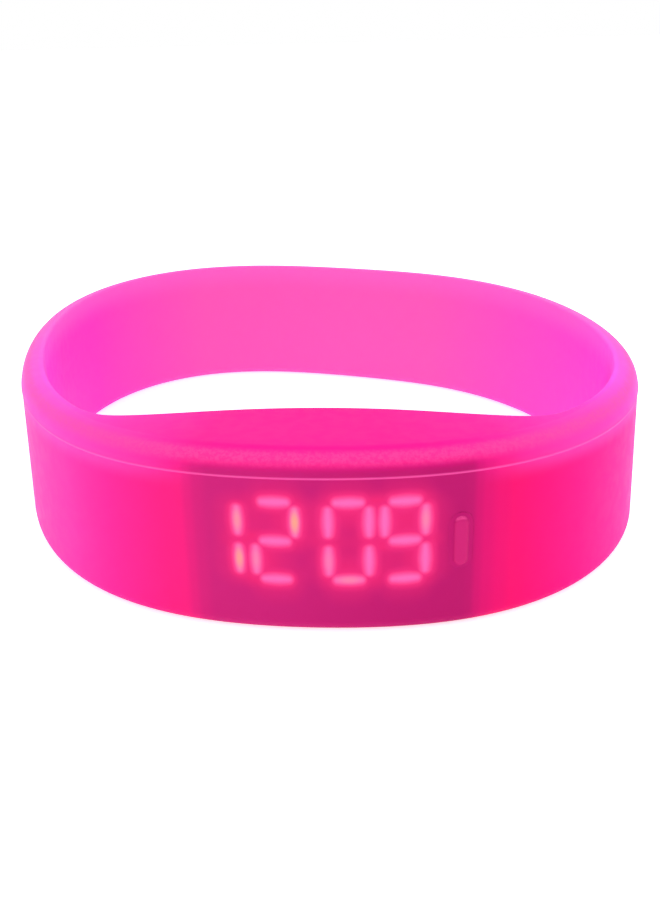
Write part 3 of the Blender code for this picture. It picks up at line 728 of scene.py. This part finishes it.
def lit_segments():
    """Bright core of every lit segment: (figure, letter) to its (x, z, half_x, half_z)."""
    side, end = (DIGIT_WIDTH - DIGIT_STROKE) / 2, (DIGIT_HEIGHT - DIGIT_STROKE) / 2
    flat, tall = side - CORE_SHORTER, end / 2 - CORE_SHORTER
    shapes = {
        "a": (0, end, flat, 0),
        "b": (side, end / 2, 0, tall),
        "c": (side, -end / 2, 0, tall),
        "d": (0, -end, flat, 0),
        "e": (-side, -end / 2, 0, tall),
        "f": (-side, end / 2, 0, tall),
        "g": (0, 0, flat, 0),
    }
    places = {}
    for figure, letters in LIT.items():
        for letter in letters:
            x, z, half_x, half_z = shapes[letter]
            places[figure, letter] = (DIGIT_CENTRES[figure] + x, DIGIT_Z + z, half_x, half_z)
    return places


def around(stops):
    """Colour stops by angle in degrees, as places from 0 to 1 round the loop."""
    return [((degrees + 180) / 360, colour) for degrees, colour in stops]


def loop_colour(skin):
    """Pink of the walls and of the upward edge round the loop, with painted light through the thin
    walls and on the upward edge.
    """
    turn = skin.turn()
    wall = skin.ramp(turn, around(WALL_PINKS_AND_LIGHT), "LINEAR")
    rim_light = skin.ramp(turn, around(RIM_LIGHT_COLOURS), "LINEAR")
    from_front = skin.math("ABSOLUTE", skin.math("SUBTRACT", turn, 0.5))
    behind = skin.step(from_front, BEHIND_START, BEHIND_FULL)
    # Outward-facing walls behind take a calmer pink, without the painted light of the inner walls
    wall = skin.mix(skin.product(skin.outward, behind), wall, OUTER_BACK)
    # Painted light: the upward edge and the top of the walls take the lighter rim pinks
    upward = skin.step(skin.up, UPWARD_START, UPWARD_FULL)
    top_light = skin.step(skin.z, TOP_LIGHT_START, BAND_HEIGHT / 2, 0.0, TOP_LIGHT_SHARE)
    return skin.mix(skin.math("MAXIMUM", upward, top_light), wall, rim_light)


def light_under_line(skin, colour):
    below_line = skin.step(skin.z, LINE_Z - EDGE_DROP, LINE_Z)
    aside = skin.step(skin.math("ABSOLUTE", skin.x), EDGE_START, EDGE_FULL)
    return skin.mix(skin.product(below_line, skin.outward, EDGE_LIGHT, aside), colour, EDGE_PINK)


def module_shadow(skin, colour):
    """The dark module seen through the skin, darkest at its right."""
    reach, width = SHADOW_REACH * MM, 2 * SHADOW_REACH * MM
    stops = [((x * MM + reach) / width, (share, share, share)) for x, share in MODULE_SHADOW]
    place = skin.math("DIVIDE", skin.math("ADD", skin.x, reach), width)
    across = skin.split(skin.ramp(place, stops, "EASE"))[0]
    lower = skin.step(skin.z, SHADOW_TOP, SHADOW_FULL)
    to_right = skin.step(skin.x, -SHADOW_TURN, SHADOW_TURN)
    dark = skin.mix(to_right, SHADOW_LEFT, SHADOW_RIGHT)
    return skin.mix(skin.product(across, lower, skin.front), colour, dark)


def segment_light(skin):
    """Distance from the nearest lit segment's bright core, and the light they all spread."""
    nearest, spread = None, None
    for x, z, half_x, half_z in lit_segments().values():
        from_middle = skin.vector("ABSOLUTE", skin.vector("SUBTRACT", skin.flat, (x, 0.0, z)))
        beyond = skin.vector("SUBTRACT", from_middle, (half_x, 0.0, half_z))
        gap = skin.vector("LENGTH", skin.vector("MAXIMUM", beyond, (0.0, 0.0, 0.0)), output=1)
        squared = skin.vector("MULTIPLY", from_middle, from_middle)
        narrowing = (TAPER if half_x else 0.0, 0.0, TAPER if half_z else 0.0)
        gap = skin.math("ADD", gap, skin.vector("DOT_PRODUCT", squared, narrowing, output=1))
        part = skin.step(gap, SPREAD_REACH, SPREAD_FULL, 0.0, SPREAD_SHARE)
        nearest = gap if nearest is None else skin.math("MINIMUM", nearest, gap)
        spread = part if spread is None else skin.math("ADD", spread, part)
    return nearest, skin.math("MINIMUM", spread, 1.0)


def warm_glow(skin):
    """Warm middle of the brightest segments, from 0 to 1."""
    segments, total = lit_segments(), None
    for figure, letter, strength in HOT:
        x, z, half_x, half_z = segments[figure, letter]
        from_middle = skin.vector("SUBTRACT", skin.flat, (x, 0.0, z))
        width, height = (HOT_WIDTH, HOT_LENGTH) if half_z else (HOT_LENGTH, HOT_WIDTH)
        scaled = skin.vector("MULTIPLY", from_middle, (1 / width, 0.0, 1 / height))
        heat = skin.step(skin.vector("LENGTH", scaled, output=1), 1.0, 0.1, 0.0, strength)
        total = heat if total is None else skin.math("MAXIMUM", total, heat)
    return total


def figure_glow(skin, colour):
    """Colour with the lit figures' light on it, and the strength of the light given off."""
    gap, spread = segment_light(skin)
    near = skin.product(skin.step(gap, NEAR_START, NEAR_FULL), skin.front)
    lit = skin.product(skin.step(gap, GLOW_REACH, 0.0), skin.front)
    warm = skin.product(warm_glow(skin), skin.front)
    colour = skin.mix(skin.product(spread, skin.front), colour, HALO_COLOUR)
    colour = skin.mix(near, colour, NEAR_COLOUR)
    colour = skin.mix(lit, colour, LIT_COLOUR)
    colour = skin.mix(warm, colour, WARM_COLOUR)
    glow = skin.math("ADD", skin.product(lit, LIT_EMISSION), skin.product(warm, WARM_EMISSION))
    return colour, glow


def pill_tint(skin, colour):
    from_pill = skin.vector("ABSOLUTE", skin.vector("SUBTRACT", skin.flat, (BUTTON_X, 0.0, 0.0)))
    straight = (0.0, 0.0, (BUTTON_HEIGHT - BUTTON_WIDTH) / 2)
    beyond = skin.vector("MAXIMUM", skin.vector("SUBTRACT", from_pill, straight), (0.0, 0.0, 0.0))
    gap = skin.vector("LENGTH", beyond, output=1)
    raised = skin.product(skin.step(gap, PILL_EDGE, PILL_FULL), skin.front)
    return skin.mix(skin.product(raised, PILL_SHARE), colour, PILL_PINK)


def ridge_light(skin, colour):
    rounding = skin.product(skin.step(skin.up, RIDGE_START, RIDGE_FULL), skin.outward)
    rounding = skin.product(rounding, skin.step(skin.up, RIDGE_END, RIDGE_FADE))
    grain = skin.step(skin.noise(RIDGE_GRAIN, 2.0, 0.7), 0.35, 0.65, RIDGE_DULLEST, 1.0)
    return skin.mix(skin.product(rounding, grain, RIDGE_SHARE), colour, RIDGE_PINK)


def parting_line(skin, colour):
    from_line = skin.math("ABSOLUTE", skin.math("SUBTRACT", skin.z, LINE_Z))
    line = skin.product(skin.step(from_line, LINE_EDGE, LINE_FULL), skin.outward)
    return skin.mix(skin.product(line, LINE_SHARE), colour, LINE_PINK)


def silicone(name, scatter_share):
    """Translucent satin silicone. The module behind the front darkens it and the lit figures glow."""
    skin = SkinShader(name)
    colour = loop_colour(skin)
    colour = light_under_line(skin, colour)
    colour = module_shadow(skin, colour)
    colour, glow = figure_glow(skin, colour)
    colour = pill_tint(skin, colour)
    colour = ridge_light(skin, colour)
    colour = parting_line(skin, colour)
    skin.set(Base_Color=colour, Emission_Color=colour, Emission_Strength=glow)

    skin.set(Roughness=skin.step(skin.noise(SATIN_SIZE), 0.3, 0.7, *SATIN_ROUGHNESS))
    skin.surface.inputs["Specular IOR Level"].default_value = SPECULAR_LEVEL
    skin.set(Subsurface_Weight=scatter_share, Subsurface_Radius=SCATTER_RADIUS)
    skin.set(Subsurface_Scale=SCATTER_SCALE)
    skin.bump(skin.noise(FINE_GRAIN, 4.0, 0.6), FINE_GRAIN_DEPTH)
    return skin.material


# Depths of the finer textures
MOULD_GRAIN_DEPTH = 0.006 * MM
DRAWN_LINE_DEPTH = 0.003 * MM
TRACK_DEPTH = 0.015 * MM
CAST_DEPTH = 0.004 * MM


def plastic(name, colour, roughness=0.5, grain=0.12 * MM, shade=0.12):
    """Moulded plastic with a fine spark-eroded grain and faint uneven shading."""
    shader = Shader(name)
    darker = tuple(channel * (1 - shade) for channel in colour)
    cloud = shader.step(shader.noise(2.5 * MM, 3.0), 0.3, 0.7)
    shader.set(Base_Color=shader.mix(cloud, (*darker, 1.0), (*colour, 1.0)))
    uneven = shader.noise(0.5 * MM)
    shader.set(Roughness=shader.step(uneven, 0.3, 0.7, roughness - 0.06, roughness + 0.08))
    shader.bump(shader.noise(grain, 2.0, 0.7), MOULD_GRAIN_DEPTH)
    return shader.material


def metal(name, colour, roughness=0.28, brush=(1.0, 1.0, 18.0)):
    """Plated or brushed metal with fine drawn lines and faint wear."""
    shader = Shader(name)
    worn = shader.step(shader.noise(0.8 * MM, 4.0), 0.4, 0.75)
    dull = tuple(channel * 0.8 for channel in colour)
    shader.set(Base_Color=shader.mix(worn, (*colour, 1.0), (*dull, 1.0)))
    lines = shader.noise(0.6 * MM, 3.0, 0.6, stretch=brush)
    shader.set(Roughness=shader.step(lines, 0.3, 0.7, roughness - 0.08, roughness + 0.12))
    shader.set(Metallic=1.0)
    shader.bump(lines, DRAWN_LINE_DEPTH)
    return shader.material


def laminate(name):
    """Green solder mask over a faint pattern of copper tracks."""
    shader = Shader(name)
    pattern = shader.node("ShaderNodeTexBrick")
    shader.feed(pattern.inputs["Vector"], shader.vector("MULTIPLY", shader.place, (1.0, 0.0, 1.0)))
    pattern.inputs["Scale"].default_value = 1 / (1.1 * MM)
    pattern.inputs["Mortar Size"].default_value = 0.06
    mask, copper = (0.012, 0.14, 0.055, 1.0), (0.03, 0.24, 0.09, 1.0)
    shader.set(Base_Color=shader.mix(pattern.outputs["Fac"], mask, copper), Roughness=0.38)
    shader.bump(pattern.outputs["Fac"], TRACK_DEPTH)
    return shader.material


def light_guide(name, lit):
    """Cast light guide, glowing from behind where its lamp is on."""
    shader = Shader(name)
    cloud = shader.step(shader.noise(0.7 * MM, 2.0), 0.3, 0.7)
    if lit:
        shader.set(Base_Color=shader.mix(cloud, (1.0, 0.35, 0.30, 1.0), (1.0, 0.50, 0.42, 1.0)))
        shader.set(Emission_Color=(1.0, 0.30, 0.25, 1.0), Emission_Strength=2.0)
    else:
        shader.set(Base_Color=shader.mix(cloud, (0.30, 0.05, 0.06, 1.0), (0.40, 0.08, 0.09, 1.0)))
    shader.set(Roughness=0.3)
    shader.bump(shader.noise(0.3 * MM), CAST_DEPTH)
    return shader.material


def paint(material, *nodes):
    for name in nodes:
        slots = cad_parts[name].data.materials
        slots.clear()
        slots.append(material)


def lit_names():
    return {f"segment_{figure}_{letter}" for figure, letters in LIT.items() for letter in letters}


def finish_cad_nodes():
    names = set(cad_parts)
    guides = {name for name in names if name.startswith(("segment_", "colon_"))}
    paint(light_guide("guide_lit", True), *sorted(guides & lit_names()))
    paint(light_guide("guide_unlit", False), *sorted(guides - lit_names()))
    paint(plastic("cover_plastic", (0.56, 0.55, 0.56), 0.45, shade=0.04), "core_back_cover")
    paint(plastic("key_plastic", (0.72, 0.72, 0.72), 0.4), "button_key")
    paint(plastic("shell_plastic", (0.10, 0.015, 0.04), 0.4), "core_front_shell")
    paint(plastic("reflector_plastic", (0.03, 0.03, 0.035), 0.6), "digit_reflector")
    paint(plastic("gasket_rubber", (0.015, 0.015, 0.015), 0.8, 0.3 * MM), "case_gasket")
    paint(plastic("switch_plastic", (0.02, 0.02, 0.02), 0.4), "switch_plunger")
    chips = [name for name in names if name.startswith("chip_resistor")]
    paint(plastic("chip_resin", (0.012, 0.012, 0.012), 0.5), "driver_chip", *sorted(chips))
    capacitors = [name for name in names if name.startswith("chip_capacitor")]
    paint(plastic("ceramic", (0.36, 0.24, 0.12), 0.55), *sorted(capacitors))
    paint(laminate("board_laminate"), "circuit_board")
    paint(plastic("insulating_film", (0.60, 0.24, 0.02), 0.25), "battery_insulator")
    paint(metal("can_metal", (0.60, 0.60, 0.63)), "crystal_can")
    paint(metal("switch_metal", (0.55, 0.55, 0.58)), "switch_base")
    paint(metal("cell_steel", (0.66, 0.66, 0.68), 0.24), "coin_cell")
    paint(metal("spring_brass", (0.70, 0.45, 0.16)), "battery_contact", "battery_clip")
    screws = sorted(name for name in names if name.startswith("case_screw"))
    paint(metal("screw_steel", (0.48, 0.48, 0.50), 0.3, (12.0, 1.0, 12.0)), *screws)


# ---------------------------------------------------------------- stage


def make_camera():
    back = -CAMERA_FORWARD.normalized()
    right = Vector((math.cos(LOOP_TURN), math.sin(LOOP_TURN), 0.0))
    up = back.cross(right)
    cosine, sine = math.cos(CAMERA_ROLL), math.sin(CAMERA_ROLL)
    across = cosine * right - sine * up
    above = sine * right + cosine * up
    data = bpy.data.cameras.new("camera")
    data.sensor_width = CAMERA_SENSOR
    data.lens = CAMERA_LENS
    data.clip_start, data.clip_end = CAMERA_CLIP
    camera = bpy.data.objects.new("camera", data)
    bpy.context.scene.collection.objects.link(camera)
    turned = Matrix((across, above, back)).transposed().to_4x4()
    camera.matrix_world = Matrix.Translation(CAMERA_PLACE) @ turned
    bpy.context.scene.camera = camera


def make_floor():
    reach = FLOOR_REACH
    corners = [(-reach, -reach, 0), (reach, -reach, 0), (reach, reach, 0), (-reach, reach, 0)]
    floor = link("floor", mesh_from("floor", corners, [(0, 1, 2, 3)]))
    floor.location.z = -FLOOR_GAP
    shader = Shader("pale_floor")
    cloud = shader.noise(40 * MM, 2.0)
    shader.set(Base_Color=shader.mix(cloud, (0.93, 0.93, 0.93, 1.0), (0.96, 0.96, 0.96, 1.0)))
    shader.set(Roughness=0.7)
    shader.set(Emission_Color=(1.0, 1.0, 1.0, 1.0), Emission_Strength=FLOOR_EMISSION)
    floor.data.materials.append(shader.material)


def softbox(name, place, target, size, power):
    data = bpy.data.lights.new(name, "AREA")
    data.shape = "RECTANGLE"
    data.size, data.size_y = size
    data.energy = power
    lamp = bpy.data.objects.new(name, data)
    bpy.context.scene.collection.objects.link(lamp)
    lamp.location = place
    way = Vector(target) - Vector(place)
    lamp.rotation_euler = way.to_track_quat("-Z", "Y").to_euler()


def make_light():
    world = bpy.data.worlds.new("studio")
    world.use_nodes = True
    backdrop = world.node_tree.nodes["Background"]
    backdrop.inputs["Color"].default_value = (1.0, 1.0, 1.0, 1.0)
    backdrop.inputs["Strength"].default_value = WORLD_STRENGTH
    bpy.context.scene.world = world
    for settings in SOFTBOXES:
        softbox(*settings)
    bpy.context.scene.view_settings.view_transform = "Standard"


# ---------------------------------------------------------------- scene

skin_material = silicone("band_silicone", SCATTER_SHARE)
pad_material = silicone("pad_silicone", 0.0)

band = make_band()
band.data.materials.append(skin_material)
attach(band, "watch")
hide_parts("band")

button_core = make_button_core()
button_core.data.materials.append(pad_material)
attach(button_core, "button")
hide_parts("button_pad")

button_web = make_button_web()
button_web.data.materials.append(pad_material)
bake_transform(button_web)

finish_cad_nodes()
make_camera()
make_floor()
make_light()
